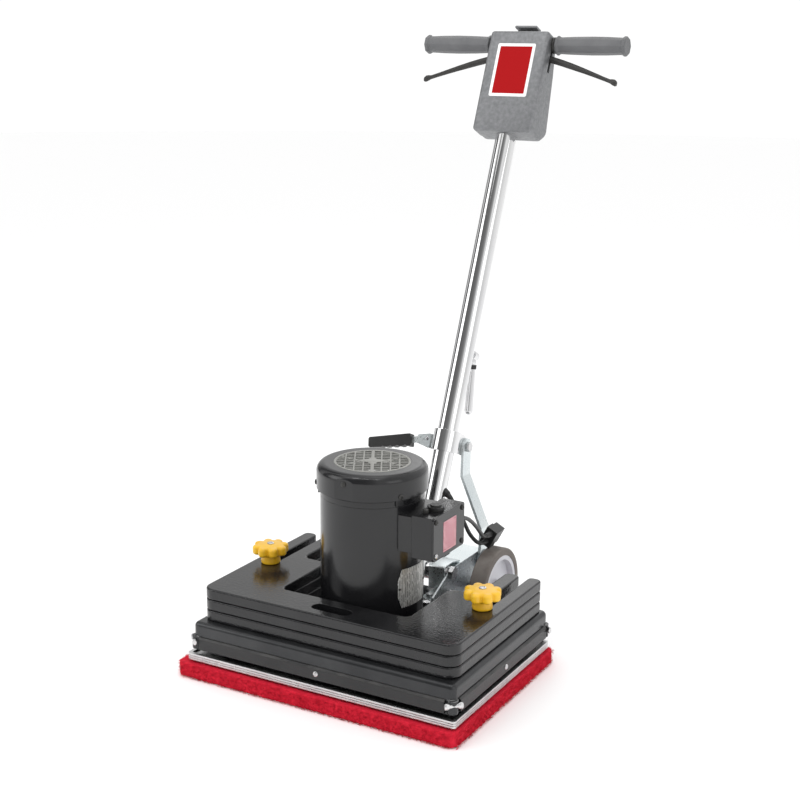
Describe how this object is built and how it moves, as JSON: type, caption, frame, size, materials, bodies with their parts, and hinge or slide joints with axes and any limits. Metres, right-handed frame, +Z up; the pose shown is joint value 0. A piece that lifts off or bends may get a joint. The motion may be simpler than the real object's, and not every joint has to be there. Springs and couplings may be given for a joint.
{
  "type": "orbital floor machine",
  "caption": "Upright floor machine with a rectangular orbiting pad, stacked weight plates, vertical motor, transport wheels and a tilting tube handle with twin triggers.",
  "frame": {"origin": "on the floor under the motor axis, in the plane of the pad underside", "axes": "+Z up, -Y to the front, +X towards the side with the conduit box"},
  "size_m": [0.52, 0.7619, 1.0606],
  "materials": {
    "pad_red": "open non-woven fibre",
    "hook_face": "moulded hooks",
    "aluminium": "mill finish extrusion",
    "cast_iron": "machined",
    "bearing_steel": "ground",
    "deck_paint": "dark grey hammered paint",
    "bumper_rubber": "satin",
    "rivet_steel": "plated",
    "isolator_rubber": "matte",
    "weight_paint": "black hammered gloss",
    "knob_yellow": "moulded",
    "motor_paint": "gloss black",
    "grille_grey": "grey satin",
    "core_steel": "laminated",
    "fan_plastic": "moulded",
    "plate_aluminium": "printed foil",
    "galvanised": "bright zinc",
    "cap_plastic": "moulded",
    "tyre_rubber": "grey-brown rubber",
    "hub_grey": "moulded",
    "tube_chrome": "polished",
    "cable_rubber": "satin",
    "box_casting": "grey cast, matt",
    "label_red": "blank printed label",
    "grip_vinyl": "moulded vinyl",
    "lever_black": "black coated"
  },
  "bodies": {
    "base": {"motor_bearings": "bearing_steel", "base_shroud": "deck_paint", "bumper_strips": "bumper_rubber", "bumper_rivets": "rivet_steel", "deck_screws": "rivet_steel", "case_screws": "rivet_steel", "weight_studs": "rivet_steel", "yoke_bolts": "rivet_steel", "wheel_axle": "rivet_steel", "isolators": "isolator_rubber", "motor_shell": "motor_paint", "end_bells": "motor_paint", "fan_cover": "motor_paint", "conduit_box": "motor_paint", "conduit_cover": "motor_paint", "fan_grille": "grille_grey", "stator": "core_steel", "conduit_glands": "fan_plastic", "lead_connector": "fan_plastic", "motor_nameplate": "plate_aluminium", "handle_yoke": "galvanised", "axle_caps": "cap_plastic", "handle_lead": "cable_rubber", "motor_lead": "cable_rubber"},
    "drive": {"motor_shaft": "bearing_steel", "rotor": "core_steel", "cooling_fan": "fan_plastic", "eccentric_hub": "cast_iron"},
    "pad_driver": {"orbit_bearing": "bearing_steel", "bearing_housing": "cast_iron", "driver_plate": "aluminium", "driver_rim": "aluminium", "pad_gripper": "hook_face", "floor_pad": "pad_red"},
    "handle": {"handle_tube": "tube_chrome", "tube_grommet": "cable_rubber", "control_cover": "box_casting", "control_housing": "box_casting", "front_label": "label_red", "handlebar": "tube_chrome", "hand_grips": "grip_vinyl", "trigger_pins": "rivet_steel", "start_switch": "fan_plastic"},
    "collar": {"collar": "tube_chrome", "collar_bolts": "rivet_steel"},
    "braces": {"brace_bars": "galvanised"},
    "clamp_lever": {"clamp_lever": "galvanised", "lever_grip": "grip_vinyl"},
    "cord_hook": {"cord_hook": "tube_chrome"},
    "trigger_left": {"trigger_left": "lever_black"},
    "trigger_right": {"trigger_right": "lever_black"},
    "wheel_left": {"tyre_left": "tyre_rubber", "wheel_hub_left": "hub_grey"},
    "wheel_right": {"tyre_right": "tyre_rubber", "wheel_hub_right": "hub_grey"},
    "knob_left": {"star_knob_left": "knob_yellow"},
    "knob_right": {"star_knob_right": "knob_yellow"},
    "weight_1": {"weight_plate_1": "weight_paint"},
    "weight_2": {"weight_plate_2": "weight_paint"},
    "weight_3": {"weight_plate_3": "weight_paint"}
  },
  "joints": [
    {"name": "motor_spin", "type": "hinge", "parent": "base", "child": "drive", "pos_m": [0, 0, 0.2], "axis": [0, 0, 1], "continuous": true},
    {"name": "pad_orbit", "type": "hinge", "parent": "drive", "child": "pad_driver", "pos_m": [0, -0.0032, 0.05], "axis": [0, 0, 1], "continuous": true},
    {"name": "wheel_spin_left", "type": "hinge", "parent": "base", "child": "wheel_left", "pos_m": [-0.104, 0.252, 0.079], "axis": [1, 0, 0], "continuous": true},
    {"name": "wheel_spin_right", "type": "hinge", "parent": "base", "child": "wheel_right", "pos_m": [0.104, 0.252, 0.079], "axis": [1, 0, 0], "continuous": true},
    {"name": "handle_tilt", "type": "hinge", "parent": "base", "child": "handle", "pos_m": [0, 0.17, 0.126], "axis": [-1, 0, 0], "range_deg": [-18, 20], "deforming": ["handle_lead"]},
    {"name": "collar_slide", "type": "slide", "parent": "handle", "child": "collar", "axis": [0, 0.3875, 0.9219], "range_m": [-0.045, 0.05]},
    {"name": "brace_swing", "type": "hinge", "parent": "collar", "child": "braces", "pos_m": [0, 0.29799, 0.31952], "axis": [-1, 0, 0], "range_deg": [-6, 6]},
    {"name": "clamp_release", "type": "hinge", "parent": "collar", "child": "clamp_lever", "pos_m": [-0.031, 0.25133, 0.33805], "axis": [0, 0.9219, -0.3875], "range_deg": [0, 60]},
    {"name": "hook_swivel", "type": "hinge", "parent": "handle", "child": "cord_hook", "pos_m": [0, 0.36086, 0.47425], "axis": [0, 0.9219, -0.3875], "range_deg": [-180, 180]},
    {"name": "trigger_squeeze_left", "type": "hinge", "parent": "handle", "child": "trigger_left", "pos_m": [-0.04, 0.5393, 1.00454], "axis": [0, 0.9219, -0.3875], "range_deg": [0, 7.5], "stiffness_Nm_per_rad": 3, "springref_deg": -14.32},
    {"name": "knob_turn_left", "type": "hinge", "parent": "base", "child": "knob_left", "pos_m": [-0.205, 0, 0.151], "axis": [0, 0, 1], "continuous": true},
    {"name": "trigger_squeeze_right", "type": "hinge", "parent": "handle", "child": "trigger_right", "pos_m": [0.04, 0.5393, 1.00454], "axis": [0, -0.9219, 0.3875], "range_deg": [0, 7.5], "stiffness_Nm_per_rad": 3, "springref_deg": -14.32},
    {"name": "knob_turn_right", "type": "hinge", "parent": "base", "child": "knob_right", "pos_m": [0.205, 0, 0.151], "axis": [0, 0, 1], "continuous": true},
    {"name": "weight_slide_1", "type": "slide", "parent": "base", "child": "weight_1", "axis": [0, -1, 0], "range_m": [0, 0.18]},
    {"name": "weight_slide_2", "type": "slide", "parent": "base", "child": "weight_2", "axis": [0, -1, 0], "range_m": [0, 0.18]},
    {"name": "weight_slide_3", "type": "slide", "parent": "base", "child": "weight_3", "axis": [0, -1, 0], "range_m": [0, 0.18]}
  ],
  "couplings": [
    {"joint": "pad_orbit", "follows": "motor_spin", "ratio": -1},
    {"joint": "collar_slide", "follows": "handle_tilt", "m_per_rad": 0.126},
    {"joint": "brace_swing", "follows": "handle_tilt", "ratio": 0.202}
  ]
}
